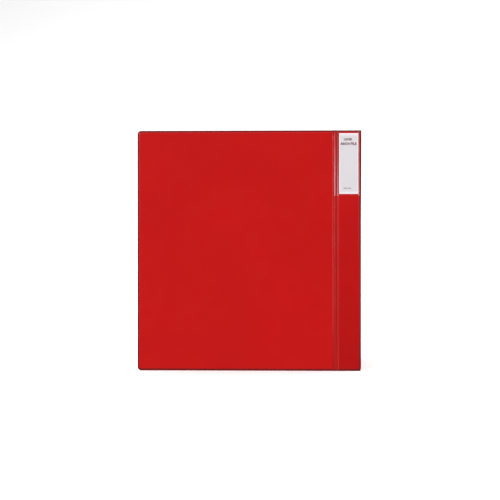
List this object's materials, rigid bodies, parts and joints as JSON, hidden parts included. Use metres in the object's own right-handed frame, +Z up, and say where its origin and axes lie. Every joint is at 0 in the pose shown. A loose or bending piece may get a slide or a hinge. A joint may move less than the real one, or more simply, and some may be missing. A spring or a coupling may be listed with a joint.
{
  "type": "lever arch file",
  "caption": "Upright lever arch file, opened in an L: stiffened red covers, narrow spine with clear label pocket, riveted lever mechanism with twin arches.",
  "frame": {"origin": "middle of the bottom of the bounding box, on the surface that the file stands on", "axes": "+Z up, along the spine; +X from the front cover's free edge towards the spine; +Y from the outer face of the spine along the back cover"},
  "size_m": [0.3222, 0.29, 0.345],
  "materials": {
    "cover_pvc": "red PVC sheet, fine grained, soft gloss",
    "lining_pvc": "red PVC sheet, fine grained, inner side",
    "hinge_pvc": "red PVC live hinge, creased and welded",
    "clear_film": "clear soft PVC film, glossy",
    "greyboard": "grey bookbinding board",
    "label_paper": "smooth white paper with faint printed frame",
    "plated_steel": "nickel plated pressed steel",
    "wire_steel": "nickel plated steel wire",
    "rivet_steel": "plated steel, satin",
    "roller_steel": "turned steel",
    "black_plastic": "moulded black plastic, satin"
  },
  "bodies": {
    "back_cover": {"back_board": "greyboard", "back_outer_sheet": "cover_pvc", "back_inner_sheet": "lining_pvc", "base_plate": "plated_steel", "post_lower": "plated_steel", "post_upper": "plated_steel", "lever_pin": "rivet_steel", "rivet_1": "rivet_steel", "rivet_2": "rivet_steel", "rivet_3": "rivet_steel", "rivet_4": "rivet_steel"},
    "spine": {"spine_board": "greyboard", "spine_outer_sheet": "cover_pvc", "spine_inner_sheet": "lining_pvc", "label_pocket": "clear_film", "rear_hinge_outer": "hinge_pvc", "rear_hinge_inner": "hinge_pvc"},
    "front_cover": {"front_board": "greyboard", "front_outer_sheet": "cover_pvc", "front_inner_sheet": "lining_pvc", "front_hinge_outer": "hinge_pvc", "front_hinge_inner": "hinge_pvc"},
    "label": {"label_card": "label_paper"},
    "lever": {"lever": "plated_steel", "roller_pin": "rivet_steel"},
    "roller": {"roller": "roller_steel"},
    "arches": {"arch_wire": "wire_steel"},
    "compressor": {"compressor_bar": "black_plastic"}
  },
  "joints": [
    {"name": "rear_hinge", "type": "hinge", "parent": "back_cover", "child": "spine", "pos_m": [0.15877, -0.14245, 0], "axis": [0, 0, -1], "range_deg": [-90, 0], "deforming": ["rear_hinge_outer", "rear_hinge_inner"]},
    {"name": "front_hinge", "type": "hinge", "parent": "spine", "child": "front_cover", "pos_m": [0.12632, -0.14245, 0], "axis": [0, 0, -1], "range_deg": [-90, 90], "deforming": ["front_hinge_outer", "front_hinge_inner"]},
    {"name": "label_slide", "type": "slide", "parent": "spine", "child": "label", "axis": [0, 0, 1], "range_m": [0, 0.09]},
    {"name": "lever_lift", "type": "hinge", "parent": "back_cover", "child": "lever", "pos_m": [0.1467, -0.09828, 0.1465], "axis": [0, 1, 0], "range_deg": [-95, 0]},
    {"name": "roller_spin", "type": "hinge", "parent": "lever", "child": "roller", "pos_m": [0.1486, -0.09828, 0.153], "axis": [0, 1, 0], "continuous": true},
    {"name": "arch_swing", "type": "hinge", "parent": "back_cover", "child": "arches", "pos_m": [0.1529, -0.11027, 0.1725], "axis": [0, 0, -1], "range_deg": [-44.65, 0]},
    {"name": "compressor_slide", "type": "slide", "parent": "back_cover", "child": "compressor", "axis": [-1, 0, 0], "range_m": [0, 0.01]}
  ],
  "couplings": [
    {"joint": "arch_swing", "follows": "lever_lift", "ratio": 0.47}
  ]
}
